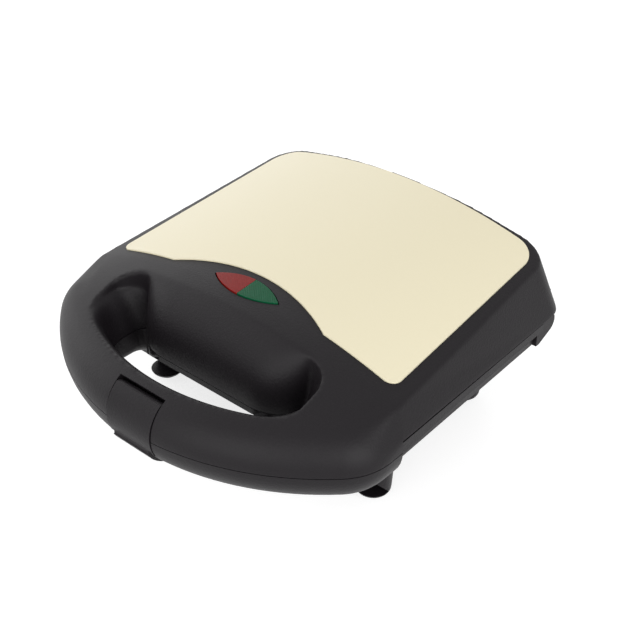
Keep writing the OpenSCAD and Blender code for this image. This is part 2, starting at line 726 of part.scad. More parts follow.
// Screw, head down at z = 0, shank up
module screw(l) {
    difference() {
        cylinder(r = head_r, h = head_h, $fn = 48);
        for (a = [0, 90]) rotate(a) translate([-2, -0.4, -eps]) cube([4, 0.8, 1]);
    }
    translate([0, 0, head_h - eps]) cylinder(r = screw_r, h = l, $fn = 32);
}
post_end = plate_z - plate_gap / 2 - block_d - 9;     // lower end of the lower plate's posts
upper_post_end = plate_z + plate_gap / 2 + block_d + 9;
module each_post() {
    for (x = [-post_x, post_x], y = [-post_y, post_y]) translate([x, plate_cy + y, 0]) children();
}
module lower_screws() color(steel)
    each_post() translate([0, 0, post_end - base_wall - head_h - seat_gap])
        screw(base_wall + 9 + seat_gap);
module upper_screws() color(steel)
    each_post() translate([0, 0, upper_post_end + lid_wall + head_h + seat_gap]) mirror([0, 0, 1])
        screw(lid_wall + 8 + seat_gap);

// Posts that hang from the lid's roof to the plate
module lid_posts() {
    difference() {
        intersection() {
            each_post() translate([0, 0, upper_post_end + seat_gap]) cylinder(r = post_r, h = body_w, $fn = 48);
            under_crown(panel_t + 1.2);
        }
        upper_screw_holes();
    }
}
module upper_screw_holes() {
    each_post() {
        translate([0, 0, upper_post_end - 1]) cylinder(r = screw_r + 0.2, h = 30, $fn = 32);
        translate([0, 0, upper_post_end + lid_wall + seat_gap]) cylinder(r = head_r + 0.3, h = 30, $fn = 48);
    }
}

tray_w = side_x - ledge_out - 2;        // half width of the tray under the ledge
tray_rear = hinge_y - 2;
module base_form() {
    difference() {
        union() {
            // handle loop's lower half, fading into the tray
            hull() {
                rim_tube(-1);
                slab(tray_w - 9, tray_w - 11, corner_y, step_y + 30, 10, base_top - handle_r + 6);
            }
            // wall behind the fingers
            hull() {
                translate([0, -1, base_top - finger_band]) linear_extrude(finger_band) bulge_plan();
                slab(bulge_w - 10, bulge_w - 10, crease_y + 14, crease_y + 40, 5, floor_z);
            }
        }
        difference() {
            translate([0, 0, floor_z]) linear_extrude(seam_z) hand_straight();
            translate([0, 0, floor_z - 1]) linear_extrude(seam_z) bulge_plan();
        }
    }
    // tray
    hull() {
        slab(tray_w, tray_w - side_taper, step_y + seam_gap, tray_rear, 10, lip_z, base_top - lip_z);
        slab(tray_w - tray_lean, tray_w - side_taper - tray_lean, crease_y + 12, tray_rear - 16, 14, floor_z);
    }
    translate([0, tray_rear - 14.5, inlet_z]) rotate([-90, 0, 0]) cylinder(r = inlet_r + 2.5, h = inlet_l, $fn = 64);
}
// Side rim that rises inside the lid's skirt line, with a ledge along each side
module base_rim() {
    translate([0, 0, lip_z]) linear_extrude(ledge_top - lip_z)
        slab_outline(tray_w, tray_w - side_taper, step_y + 2 * seam_gap, plate_rear + 2 * base_wall, 10);
    translate([0, 0, ledge_top - ledge_h]) linear_extrude(ledge_h) slab_outline(tray_w + ledge_out,
        tray_w + ledge_out - side_taper, step_y + 2 * seam_gap, plate_rear + 0.4, 1);
}
module base_shell() color(plastic) {
    difference() {
        union() {
            base_form();
            base_rim();
            base_knuckles();
            feet();
        }
        base_room();
        handle_hollows(-1);
        clip_room();
        for (m = [0, 1]) mirror([m, 0, 0]) {
            along_hinge(knuckle_x - knuckle_w - 1, knuckle_w, pin_r + pin_gap);
            along_hinge(lid_knuckle_x - swing_gap, lid_knuckle_w + swing_gap + knuckle_gap, knuckle_r + swing_gap);
        }
        each_foot() cylinder(r = pad_r + 0.1, h = pad_t + 0.1, $fn = 48);
        translate([0, tray_rear + 10, inlet_z]) rotate([90, 0, 0]) cylinder(r = inlet_r, h = 40, $fn = 64);
        lower_screw_holes();
    }
    base_towers();
}
// Room for the lower plate and its gear
module base_room() {
    w = tray_w - base_wall;
    hull() {
        slab(w, w - side_taper, plate_front - plate_room, plate_rear + base_wall, 8, lip_z, skirt_z - lip_z);
        slab(w - tray_lean, w - side_taper - tray_lean, crease_y + 12 + 2 * base_wall,
            tray_rear - 16 - base_wall, 10, floor_z + base_wall);
    }
}
// Hollow towers that the lower plate's posts stand on
module base_towers() {
    difference() {
        each_post() translate([0, 0, floor_z + 1])
            cylinder(r = post_r + 1.5, h = post_end - seat_gap - floor_z - 1, $fn = 48);
        lower_screw_holes();
    }
}
module lower_screw_holes() {
    each_post() {
        translate([0, 0, floor_z - 1]) cylinder(r = head_r + 0.4,
            h = post_end - base_wall - floor_z + 1 - seat_gap, $fn = 48);
        translate([0, 0, floor_z]) cylinder(r = screw_r + 0.2, h = 40, $fn = 32);
    }
}
module base_knuckles() {
    for (m = [0, 1]) mirror([m, 0, 0]) hull() {
        along_hinge(knuckle_x - knuckle_w, knuckle_w, knuckle_r);
        translate([knuckle_x - knuckle_w, plate_rear + base_wall + 1, lip_z - 1])
            cube([knuckle_w, base_wall, hinge_z - lip_z + 1]);
    }
}
module each_foot() {
    for (m = [0, 1]) mirror([m, 0, 0]) {
        translate([foot_x, foot_front_y, 0]) children();
        translate([foot_rear_x, foot_rear_y, 0]) children();
    }
}
module feet() {
    each_foot() translate([0, 0, pad_proud])
        rotate_extrude($fn = 64) polygon(concat([[0, 0]], arc(foot_r - 4, 4, 4, -90, 0, 5),
            [[foot_r + 2, floor_z + foot_rise - pad_proud], [0, floor_z + foot_rise - pad_proud]]));
}
module foot_pads() color([0.1, 0.1, 0.1]) {
    each_foot() cylinder(r = pad_r, h = pad_t, $fn = 48);
}
module terminal_block() color([0.9, 0.89, 0.84]) {
    pole = (block_l - 1) / 3;
    translate([-block_l / 2, plate_cy + 2 * base_wall, floor_z + base_wall]) difference() {
        cube([block_l, block_w, block_h]);
        for (i = [-1:1]) translate([block_l / 2 + pole * i, block_w / 2, block_h / 2 - 1])
            cylinder(r = screw_r + 0.4, h = block_h, $fn = 32);
    }
}

lid_shell();
top_panel();
red_lens();
green_lens();
lamp_holder();
neon_lamps();
upper_plate();
upper_element();
upper_reflector();
upper_screws();
thermostat();
thermal_fuse();
latch_clip();
latch_pin();
hinge_pins();
base_shell();
lower_plate();
lower_element();
lower_reflector();
lower_screws();
terminal_block();
foot_pads();
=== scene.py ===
import bpy
import bmesh
import json
from math import radians, degrees, sin, cos, tan, asin, sqrt, pi
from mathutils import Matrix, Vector


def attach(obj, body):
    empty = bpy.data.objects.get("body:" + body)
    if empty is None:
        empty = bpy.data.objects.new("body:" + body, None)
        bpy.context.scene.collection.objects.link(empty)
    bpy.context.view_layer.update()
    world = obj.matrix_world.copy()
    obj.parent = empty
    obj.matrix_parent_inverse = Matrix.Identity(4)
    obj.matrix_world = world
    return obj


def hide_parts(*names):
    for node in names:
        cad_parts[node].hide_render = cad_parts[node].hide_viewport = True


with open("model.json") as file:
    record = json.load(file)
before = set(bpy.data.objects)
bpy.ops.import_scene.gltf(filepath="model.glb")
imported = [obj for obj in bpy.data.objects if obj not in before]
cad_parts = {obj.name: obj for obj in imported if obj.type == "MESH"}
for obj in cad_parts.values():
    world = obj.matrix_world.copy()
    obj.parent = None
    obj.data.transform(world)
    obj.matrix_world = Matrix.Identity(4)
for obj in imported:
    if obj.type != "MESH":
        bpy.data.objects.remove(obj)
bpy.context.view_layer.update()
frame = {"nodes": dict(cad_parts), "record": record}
nodes = frame["nodes"]
print("frame loaded:", len(nodes), "parts")


# small tools for working with the operators

def objectMode():
    if bpy.context.mode != "OBJECT":
        bpy.ops.object.mode_set(mode="OBJECT")


def clearSelection():
    objectMode()
    bpy.ops.object.select_all(action="DESELECT")


def only(obj):
    clearSelection()
    obj.select_set(True)
    bpy.context.view_layer.objects.active = obj


def settle(obj, name):  # the place goes into the mesh, so the object is at the origin
    only(obj)
    bpy.ops.object.transform_apply(location=True, rotation=True, scale=True)
    obj.name = name
    obj.data.name = name
    return obj


def added(name):  # takes over the primitive that was just added
    return settle(bpy.context.active_object, name)


def edit(obj, kind="FACE", test=None):  # edit mode, with what passes the test selected, or everything
    if bpy.context.mode != "EDIT_MESH":
        only(obj)
        bpy.ops.object.mode_set(mode="EDIT")
    bpy.ops.mesh.select_mode(type=kind)
    bpy.ops.mesh.select_all(action="SELECT" if test is None else "DESELECT")
    if test is None:
        return
    mesh = bmesh.from_edit_mesh(obj.data)
    if kind == "VERT":
        for v in mesh.verts:
            v.select_set(bool(test(v.co)))
    elif kind == "EDGE":
        for e in mesh.edges:
            if test(e.verts[0].co, e.verts[1].co):
                e.select_set(True)
    else:
        for f in mesh.faces:
            if test(f.calc_center_median(), f.normal):
                f.select_set(True)
    mesh.select_flush_mode()
    bmesh.update_edit_mesh(obj.data)


def modify(obj, kind, **settings):  # adds a modifier and applies it
    only(obj)
    mod = obj.modifiers.new(kind.title(), kind)
    for key, value in settings.items():
        setattr(mod, key, value)
    bpy.ops.object.modifier_apply(modifier=mod.name)
    return obj


def combine(obj, tool, how="DIFFERENCE", solver="MANIFOLD", keep=False):
    modify(obj, "BOOLEAN", operation=how, object=tool, solver=solver)
    if not obj.data.polygons:
        raise RuntimeError(f"{how} of {obj.name} with {tool.name} left nothing")
    if not keep:
        bpy.data.objects.remove(tool)
    return obj


def copyOf(obj, name):
    twin = obj.copy()
    twin.data = obj.data.copy()
    bpy.context.scene.collection.objects.link(twin)
    return settle(twin, name)


def block(name, low, high):
    clearSelection()
    bpy.ops.mesh.primitive_cube_add(size=1, location=[(a + b) / 2 for a, b in zip(low, high)],
        scale=[b - a for a, b in zip(low, high)])
    return added(name)


def rod(name, radius, start, end, sides=64):
    clearSelection()
    a, b = Vector(start), Vector(end)
    bpy.ops.mesh.primitive_cylinder_add(vertices=sides, radius=radius, depth=(b - a).length,
        location=(a + b) / 2, rotation=(b - a).to_track_quat("Z", "Y").to_euler())
    return added(name)


def extrude(x=0, y=0, z=0):  # in edit mode: draws out what is selected
    bpy.ops.mesh.extrude_region_move(TRANSFORM_OT_translate={"value": (x, y, z)})


def outlined(name, points):  # a flat face through the points
    clearSelection()
    bpy.ops.mesh.primitive_circle_add(vertices=len(points), radius=0.05, fill_type="NGON")
    face = added(name)
    for v, point in zip(face.data.vertices, points):
        v.co = point
    return face


def drawn(name, points, x=0, y=0, z=0):  # a flat outline carried straight along
    shape = outlined(name, points)
    edit(shape)
    extrude(x, y, z)
    objectMode()
    return recalculated(shape)


def bar(name, width, outline):  # outline in (y, z) carried across the object, half the width each side
    return drawn(name, [(-width, y, z) for y, z in outline], x=2 * width)


def upright(name, outline, low, high):  # outline in (x, y) raised from low to high
    return drawn(name, [(x, y, low) for x, y in outline], z=high - low)


def joined(name, *parts):
    clearSelection()
    for p in parts:
        p.select_set(True)
    bpy.context.view_layer.objects.active = parts[0]
    bpy.ops.object.join()
    return settle(parts[0], name)


def wrapped(obj):  # convex hull, as cling film round the parts
    edit(obj)
    bpy.ops.mesh.convex_hull()
    objectMode()
    return obj


def recalculated(obj):
    edit(obj)
    bpy.ops.mesh.remove_doubles(threshold=1e-6)
    bpy.ops.mesh.normals_make_consistent(inside=False)
    objectMode()
    return obj


def smooth(obj, angle=32):
    only(obj)
    bpy.ops.object.shade_smooth_by_angle(angle=radians(angle))
    return obj


def evened(obj, angle=32):  # broad faces keep their own shading beside a rounded edge
    smooth(obj, angle)
    return modify(obj, "WEIGHTED_NORMAL", keep_sharp=True, weight=100)


def rounded(obj, width, limit=40, segments=3):
    # rounds the sharp edges and marks the new faces, on which the materials paint a highlight
    obj.data.materials.clear()
    for i in range(2):  # two empty slots, so that the bevel can mark its faces
        obj.data.materials.append(None)
    modify(obj, "BEVEL", width=width, segments=segments, limit_method="ANGLE", angle_limit=radians(limit),
        use_clamp_overlap=True, material=1)
    # mask of the painted highlight: 1 on the bevel faces, 0 elsewhere
    mask = obj.data.color_attributes.new("paintedHighlight", "BYTE_COLOR", "CORNER")
    for f in obj.data.polygons:
        tone = 1.0 if f.material_index else 0.0
        for i in f.loop_indices:
            mask.data[i].color = (tone, tone, tone, 1)
        f.material_index = 0
    obj.data.materials.clear()
    return obj


def dressed(name, title, edge=0.0, cuts=(), angle=32, dissolve=0.5):
    # a merged copy of a part with its thin facets joined, its edges rounded and its shading evened
    twin = copyOf(nodes[name], title)
    edit(twin)
    bpy.ops.mesh.remove_doubles(threshold=2e-6)
    objectMode()
    for how, tool in cuts:
        combine(twin, tool, how)
    edit(twin)
    bpy.ops.mesh.dissolve_limited(angle_limit=radians(dissolve))
    objectMode()
    if edge:
        rounded(twin, edge)
    return evened(twin, angle)


# sizes shared by the lid and the base, in metres

form = {
    "side": 0.115, "front": -0.1159, "rear": 0.1159, "seam": 0.0587, "seamGap": 0.0004, "wall": 0.003,
    "tube": 0.022, "cornerRadius": 0.033, "cornerIn": 0.066544, "stepIn": 0.010,
    "skirt": 0.0662, "sideFlare": 0.42, "rearFlare": 0.16, "rearLean": 0.88, "sideTaper": 0.0044, "rearCorner": 0.015,
    "crownHeight": 0.1032, "crownTilt": 4.86, "crownRadius": 0.327,
    "fallIn": 0.014, "fallRadius": 0.134, "fallReach": 0.044, "fallSide": 0.015, "fallNarrow": 0.0224,
    "barDepth": 0.0226, "barRound": 0.008, "creaseIn": 0.0713,
    "handSide": 0.053, "handFrontIn": 0.040, "handCorner": 0.020, "handRear": 0.012,
    "handSpread": 0.013, "spreadBelow": 0.45, "spreadRound": 0.5,  # shares of the spread under and at the rounding
    "bulge": 0.018, "bulgeSide": 0.001, "bulgeRadius": 0.028, "bulgeEnd": 62, "bulgeFade": 0.91, "bulgeLeast": 0.0015,
    "roomHigh": 0.050, "voxel": 0.0011, "rimEdge": 0.0006, "skirtEdge": 0.0008,
}
sideX, frontY, rearY = form["side"], form["front"], form["rear"]
lidLow = form["seam"] + form["seamGap"] / 2
tubeR = form["tube"]
cornerX = sideX - form["cornerRadius"]
cornerY = frontY + form["cornerIn"]
frontR = (cornerX ** 2 + form["cornerIn"] ** 2 - form["cornerRadius"] ** 2) \
    / (2 * (form["cornerIn"] - form["cornerRadius"]))
frontCy = frontY + frontR
cornerTurn = degrees(asin(cornerX / (frontR - form["cornerRadius"])))
stepY = cornerY + form["stepIn"]
barIn = frontY + form["barDepth"]
creaseY = frontY + form["creaseIn"]
fallY = creaseY + form["fallIn"]
handW = sideX - form["handSide"]
bulgeW = handW - form["bulgeSide"]
away = 0.2  # past every side of the object, for the blocks that cut it
seatLow, seatHigh = 0.07, 0.14  # heights well below and above the top, for the tools that cut it
lensLow, lensHigh = 0.08, 0.13  # the same for the lenses and what sits under the top
spare = 0.001  # how far a tool runs past what it cuts


def crownAt(y):
    return form["crownHeight"] + tan(radians(form["crownTilt"])) * y


def fallAt(y):
    return form["fallRadius"] - sqrt(form["fallRadius"] ** 2 - (fallY - y) ** 2) if y < fallY else 0


def droop(x):
    return form["crownRadius"] - sqrt(form["crownRadius"] ** 2 - x * x)


def crownCylinder(lift=0):  # the big cylinder whose skin is the crowned top, raised by lift
    t = radians(form["crownTilt"])
    r = form["crownRadius"]
    middle = Vector((0, r * sin(t), form["crownHeight"] + lift - r * cos(t)))
    along = Vector((0, cos(t), sin(t))) * 0.25
    return rod("crown", r, middle - along, middle + along, sides=1440)


# the lid

def handleTube():
    # the handle loop as a round tube: one side, a corner, the bowed front, the other corner and side
    clearSelection()
    bpy.ops.mesh.primitive_circle_add(vertices=96, radius=tubeR, location=(sideX - tubeR, stepY, form["seam"]),
        rotation=(radians(90), 0, 0))
    tube = added("handleTube")
    edit(tube, "EDGE")
    extrude(y=cornerY - stepY)
    corner, front = radians(90 - cornerTurn), radians(2 * cornerTurn)  # spin turns clockwise seen from above
    for steps, angle, center in ((24, corner, (cornerX, cornerY, 0)), (96, front, (0, frontCy, 0)),
            (24, corner, (-cornerX, cornerY, 0))):
        bpy.ops.mesh.spin(steps=steps, angle=angle, center=center, axis=(0, 0, 1))
    extrude(y=stepY - cornerY)
    objectMode()
    return tube


def lidBlock():
    # tapered block between the skirt and a height over the crown, cut to the crowned top
    skirt, taper, near = form["skirt"], form["sideTaper"], 1e-5
    rise = crownAt(rearY) + 5 * spare - skirt
    lean = rise * form["sideFlare"]
    solid = block("lidBlock", (-sideX, stepY, skirt - 0.004), (sideX, rearY, skirt))
    edit(solid, "FACE", lambda c, n: n.z > 0.5)
    extrude(z=rise)
    bpy.ops.transform.resize(value=(1 - lean / sideX, 1, 1))
    edit(solid, "VERT", lambda c: c.y > 0 and c.z < skirt + near)
    bpy.ops.transform.resize(value=(1 - taper / sideX, 1, 1), center_override=(0, 0, 0))
    narrow = (sideX - taper - lean * form["rearLean"]) / (sideX - lean)
    edit(solid, "VERT", lambda c: c.y > 0 and c.z > skirt + near)
    bpy.ops.transform.resize(value=(narrow, 1, 1), center_override=(0, 0, 0))
    bpy.ops.transform.translate(value=(0, -rise * form["rearFlare"], 0))
    edit(solid, "VERT", lambda c: c.y < 0 and c.z > skirt + near)
    bpy.ops.transform.translate(value=(0, fallY - stepY, 0))
    edit(solid, "EDGE", lambda a, b: min(a.y, b.y) > 0.05 and abs(a.z - b.z) > 0.002)
    bpy.ops.mesh.bevel(offset=form["rearCorner"], segments=14, affect="EDGES")
    objectMode()
    return combine(solid, crownCylinder(), "INTERSECT", "EXACT")


def fallGrid():
    # crowned sheet across the lid where its top falls towards the handle
    clearSelection()
    bpy.ops.mesh.primitive_grid_add(x_subdivisions=48, y_subdivisions=22, size=1)
    sheet = added("fallGrid")
    for v in sheet.data.vertices:
        t = 0.5 - v.co.y
        y = fallY - form["fallReach"] * t
        x = v.co.x * 2 * (sideX - form["fallSide"] - form["fallNarrow"] * t * t)
        v.co = (x, y, crownAt(y) - fallAt(y) - droop(x))
    return sheet


def handRing(name, z, steps=(40, 12, 10)):
    # the finger opening's outline at height z: front arc, front corners, sides and rear corners
    w, rf, rc, rr = handW, frontR - form["handFrontIn"], form["handCorner"], form["handRear"]
    middle = barIn + rf
    cy = middle - sqrt((rf - rc) ** 2 - (w - rc) ** 2)
    a = asin((w - rc) / (rf - rc))
    half = [(rf * sin(a * i / steps[0]), middle - rf * cos(a * i / steps[0])) for i in range(steps[0] + 1)]
    for i in range(1, steps[1] + 1):
        turn = a + (pi / 2 - a) * i / steps[1]
        half.append((w - rc + rc * sin(turn), cy - rc * cos(turn)))
    for i in range(steps[2] + 1):
        turn = pi / 2 * i / steps[2]
        half.append((w - rr + rr * cos(turn), creaseY - rr + rr * sin(turn)))
    return outlined(name, [(x, y, z) for x, y in half] + [(-x, y, z) for x, y in reversed(half) if x > 1e-6])


def spread(start, levels):
    # in edit mode: carries the opening's outline on from start through levels of height, added width and depth
    depth = creaseY - barIn
    here = (start, 1.0, 1.0)
    for z, side, back in levels:
        wide, deep = (handW + side) / handW, (depth + back) / depth
        extrude(z=z - here[0])
        bpy.ops.transform.resize(value=(wide / here[1], deep / here[2], 1), center_override=(0, creaseY, z))
        here = (z, wide, deep)


def handOpening():
    # tool for the finger opening: straight under the seam, spreading above it, and round over the bar's inner edge
    seam, out, crest, r = form["seam"], form["handSpread"], lidLow + tubeR, form["barRound"]
    below, over = form["spreadBelow"], form["spreadBelow"] + form["spreadRound"]
    ring = handRing("handOpening", seam - 2 * tubeR)
    edit(ring)
    extrude(z=2 * tubeR)
    levels = [(seam + i / 4 * (crest - r - seam), out * (below * (i / 4)), 0) for i in range(1, 5)]
    for i in range(1, 9):
        t = i / 8
        side = out * (below + form["spreadRound"] * t)
        levels.append((crest - r * (1 - sin(pi / 2 * t)), side, r * (1 - cos(pi / 2 * t))))
    spread(seam, levels + [(crest + 0.05, out * over, r)])
    objectMode()
    return recalculated(ring)


def fingerBarrel():
    # barrel wall behind the fingers: an oval section carried sideways, which falls and fades at both ends
    end = radians(form["bulgeEnd"])
    bulge, round_ = form["bulge"], form["bulgeRadius"]
    b0 = bulge / (1 - cos(end))
    h0 = (crownAt(creaseY) - fallAt(creaseY) - lidLow) / sin(end)
    clearSelection()
    bpy.ops.mesh.primitive_circle_add(vertices=160, radius=1, location=(0, 0, 0), rotation=(0, radians(90), 0))
    ring = added("fingerBarrel")
    edit(ring, "EDGE")
    bpy.ops.transform.resize(value=(1, b0, h0))
    bpy.ops.transform.translate(value=(0, creaseY - bulge + b0, lidLow))
    here = (0, 1, 1)
    flat = bulgeW - round_
    stops = [flat * i / 8 for i in range(1, 9)]
    stops += [flat + round_ * form["bulgeFade"] * sin(pi / 2 * i / 14) for i in range(1, 15)]
    for x in stops:
        past = max(0, x - flat)
        b = max(form["bulgeLeast"], bulge - round_ + sqrt(round_ ** 2 - past * past)) / bulge
        h = (crownAt(creaseY) - fallAt(creaseY) - droop(x) - lidLow) / sin(end) / h0
        extrude(x=x - here[0])
        bpy.ops.transform.resize(value=(1, b / here[1], h / here[2]), center_override=(x, creaseY, lidLow))
        here = (x, b, h)
    bpy.ops.mesh.edge_face_add()
    objectMode()
    modify(ring, "MIRROR", use_clip=True, merge_threshold=1e-5)
    return recalculated(ring)


def band(r0, r1, a0, a1, steps=48):  # arc band round the handle bar's middle, angles rise from the front
    cy, cz = frontY + tubeR, form["seam"]
    turn = [radians(a0 + (a1 - a0) * i / steps) for i in range(steps + 1)]
    arc = lambda r, turns: [(cy - r * cos(a), cz + r * sin(a)) for a in turns]
    return arc(r1, turn) + arc(r0, reversed(turn))


def taperedBlock(name, w, y0, y1, z0, z1, lean, rearLean, corner):
    # block whose sides lean in as they rise, narrower at the back
    middleY, middleZ = (y0 + y1) / 2, (z0 + z1) / 2
    solid = block(name, (-w, y0, z0), (w, y1, z1))
    edit(solid, "VERT", lambda c: c.z > middleZ)
    bpy.ops.transform.resize(value=(1 - lean / w, 1, 1), center_override=(0, 0, z1))
    edit(solid, "VERT", lambda c: c.y > middleY)
    bpy.ops.transform.resize(value=(1 - form["sideTaper"] / w, 1, 1), center_override=(0, 0, 0))
    edit(solid, "VERT", lambda c: c.y > middleY and c.z > middleZ)
    bpy.ops.transform.translate(value=(0, -rearLean, 0))
    edit(solid, "EDGE", lambda a, b: min(a.y, b.y) > middleY and abs(a.z - b.z) > 0.3 * (z1 - z0))
    bpy.ops.mesh.bevel(offset=corner, segments=10, affect="EDGES")
    objectMode()
    return solid


panel = {"side": 0.015, "frontIn": 0.0154, "rearIn": 0.010, "taper": 0.006, "frontRadius": 0.007, "rearRadius": 0.013,
    "archRadius": 0.120, "archRise": 0.0132, "proud": 0.00078, "thick": 0.002, "gap": 0.00015, "edge": 0.0005}
panelFront, panelRear = creaseY + panel["frontIn"], rearY - panel["rearIn"]
panelW = sideX - panel["side"]


def panelPlan(name, grow):
    # upright block with the panel's outline: rounded corners and the arch over the lenses
    wf, wr = panelW + grow, panelW - panel["taper"] + grow
    solid = block(name, (-wf, panelFront - grow, seatLow), (wf, panelRear + grow, seatHigh))
    edit(solid, "VERT", lambda c: c.y > 0)
    bpy.ops.transform.resize(value=(wr / wf, 1, 1), center_override=(0, 0, 0))
    for back, r in ((False, panel["frontRadius"]), (True, panel["rearRadius"])):
        edit(solid, "EDGE", lambda a, b: (a.y > 0) == back and (b.y > 0) == back and abs(a.z - b.z) > 0.01)
        bpy.ops.mesh.bevel(offset=r, segments=16, affect="EDGES")
    objectMode()
    middle = panelFront + panel["archRise"] - panel["archRadius"]
    low, high = seatLow - 10 * spare, seatHigh + 10 * spare
    return combine(solid, rod("arch", panel["archRadius"] - grow, (0, middle, low), (0, middle, high), sides=720))


lens = {"half": 0.0234, "wide": 0.0078, "frontIn": 0.0012, "proud": 0.0006, "lampSide": 0.008, "lampOver": 0.01}
lensY = panelFront + lens["frontIn"]


def lensPlan(name, grow):
    # upright block with the lens pair's outline, a pointed oval where two round rods cross
    r = (lens["half"] ** 2 + lens["wide"] ** 2) / (2 * lens["wide"])
    ahead, behind = lensY + r - lens["wide"], lensY - r + lens["wide"]
    low, high = lensLow - spare, lensHigh + spare
    a = rod(name, r + grow, (0, ahead, lensLow), (0, ahead, lensHigh), sides=720)
    b = rod("lensTool", r + grow, (0, behind, low), (0, behind, high), sides=720)
    return combine(a, b, "INTERSECT")


clip = {"half": 0.016, "tab": 0.013, "gap": 0.0006, "thick": 0.0042, "sunk": 0.0004, "roomOut": 0.006,
    "low": 27, "tabLow": 62, "lowGap": 2, "tabGap": 8, "topTurn": 8, "topGap": 7,  # degrees round the bar
    "pivotTurn": 50, "pivotIn": 0.0041, "pin": 0.0015, "boss": 0.0015, "pinReach": 0.0054,
    "tongueRadius": 0.022, "tongueThick": 0.0035, "tongueBack": 0.009, "tongueReach": 0.012}
clipOut = tubeR - clip["sunk"]
clipIn = clipOut - clip["thick"]
pivotR = clipOut - clip["pivotIn"]
pivotY = frontY + tubeR - pivotR * cos(radians(clip["pivotTurn"]))
pivotZ = form["seam"] + pivotR * sin(radians(clip["pivotTurn"]))
clipTop = clip["pivotTurn"] + clip["topTurn"]


def tonguePlan(grow):
    # outline in (y, z) of the latch's tongue, bent round the pivot
    r0, r1 = clip["tongueRadius"] - grow, clip["tongueRadius"] + clip["tongueThick"] + grow
    y0 = pivotY - clip["tongueBack"] - 2 * grow
    y1 = y0 + clip["tongueReach"] + 3 * grow
    stops = [y0 + (y1 - y0) * i / 12 for i in range(13)]
    arc = lambda r: [(y, pivotZ - sqrt(r * r - (y - pivotY) ** 2)) for y in stops]
    return arc(r0) + list(reversed(arc(r1)))


def clipRoom():
    # the latch's seat in the handle's bar: its strap, its boss, its tab and its tongue
    g = clip["gap"]
    w, t, inner, outer = clip["half"] + g, clip["tab"] + g, clipIn - g, tubeR + clip["roomOut"]
    room = bar("clipRoom", w, band(inner, outer, -clip["low"] - clip["lowGap"], clipTop + clip["topGap"]))
    boss = rod("boss", clipOut - pivotR + clip["boss"], (-w, pivotY, pivotZ), (w, pivotY, pivotZ))
    combine(room, boss, "UNION")
    combine(room, bar("tabRoom", t, band(inner, outer, -clip["tabLow"] - clip["tabGap"], 0)), "UNION")
    combine(room, bar("tongueRoom", t, tonguePlan(g)), "UNION")
    return room


plate = {"side": 0.0135, "frontIn": 0.0162, "rearIn": 0.015, "hinge": 0.0135, "hingeHeight": 0.0593, "gap": 0.0003,
    "block": 0.0135, "post": 0.009, "postSideIn": 0.0445, "postFrontIn": 0.0159, "postRadius": 0.0045,
    "postSeat": 0.0012, "seat": 0.0002, "screw": 0.0018, "screwRoom": 0.0002, "screwDeep": 0.008}
hingeY, hingeZ = rearY - plate["hinge"], plate["hingeHeight"]
plateFront, plateRear = creaseY + plate["frontIn"], hingeY - plate["rearIn"]
plateCy, plateHalf = (plateFront + plateRear) / 2, (plateRear - plateFront) / 2
plateZ = form["skirt"] - form["seamGap"]
postX = sideX - plate["side"] - plate["postSideIn"]
postY = plateHalf - plate["postFrontIn"]
postLow = plateZ + plate["gap"] / 2 + plate["block"] + plate["post"]
postPlaces = [(x, plateCy + y) for x in (-postX, postX) for y in (-postY, postY)]
hinge = {"radius": 0.0064, "side": 0.007, "wide": 0.0064, "lidWide": 0.013, "gap": 0.0004, "pin": 0.002, "web": 0.008}
lidKnuckleX = sideX - hinge["side"] - hinge["wide"] - hinge["gap"] - hinge["lidWide"]
pinFit = 0.00005  # radial play of a pin in its hole
hollow = {"high": 0.8, "low": 0.5, "stop": 3, "cornerHigh": 0.6, "bendSide": 0.017, "bendIn": 0.019, "endSide": 0.033,
    "endIn": 0.028}


def handleHollow(side):
    # hollow in the upper half of the handle loop beside the latch, open at the parting line
    w, h = form["wall"], tubeR - form["wall"]
    start = degrees(asin((clip["half"] + 3 * w) / (frontR - tubeR)))
    a = radians(-90 + start)
    high, low, thin = h * hollow["high"], h * hollow["low"], tubeR - 2 * w
    section = [(w, -spare), (w, high), (tubeR / 2, high), (thin, low), (thin, -spare)]
    at = lambda r, up: (r * cos(a), frontCy + r * sin(a), lidLow + up)
    shape = outlined("hollow", [at(frontR - tubeR + r, up) for r, up in section])
    edit(shape)
    turn = -radians(cornerTurn - hollow["stop"] - start)
    bpy.ops.mesh.spin(steps=48, angle=turn, center=(0, frontCy, lidLow), axis=(0, 0, 1))
    objectMode()
    recalculated(shape)
    inner = sideX - 2 * w
    corner = [(inner, stepY - w), (inner, cornerY), (sideX - hollow["bendSide"], cornerY - hollow["bendIn"]),
        (sideX - hollow["endSide"], cornerY - hollow["endIn"]), (sideX - hollow["endSide"], stepY - w)]
    pocket = drawn("cornerHollow", [(x, y, lidLow - spare) for x, y in corner], z=h * hollow["cornerHigh"] + spare)
    combine(shape, pocket, "UNION")
    if side < 0:
        edit(shape)
        bpy.ops.transform.resize(value=(-1, 1, 1), center_override=(0, 0, 0))
        objectMode()
        recalculated(shape)
    return shape


rim = {"near": 0.0015, "side": 0.012, "front": 0.05, "rear": 0.002}  # where an edge counts as the outer rim


def softRim(c, ahead):
    # on the handle's outer rim ahead of the skirt, or on the skirt's own outer rim
    near = rim["near"]
    if not ahead:
        outer = abs(c.x) > sideX - form["sideTaper"] - near - spare or c.y > rearY - near - spare
        return c.y > stepY + spare and outer
    if c.y > stepY - 2 * spare:
        return False
    if c.y > cornerY:
        return abs(c.x) > sideX - near
    reach = sqrt(c.x ** 2 + (c.y - frontCy) ** 2)
    bend = sqrt((abs(c.x) - cornerX) ** 2 + (c.y - cornerY) ** 2)
    return reach > frontR - near or bend > form["cornerRadius"] - near and abs(c.x) > cornerX


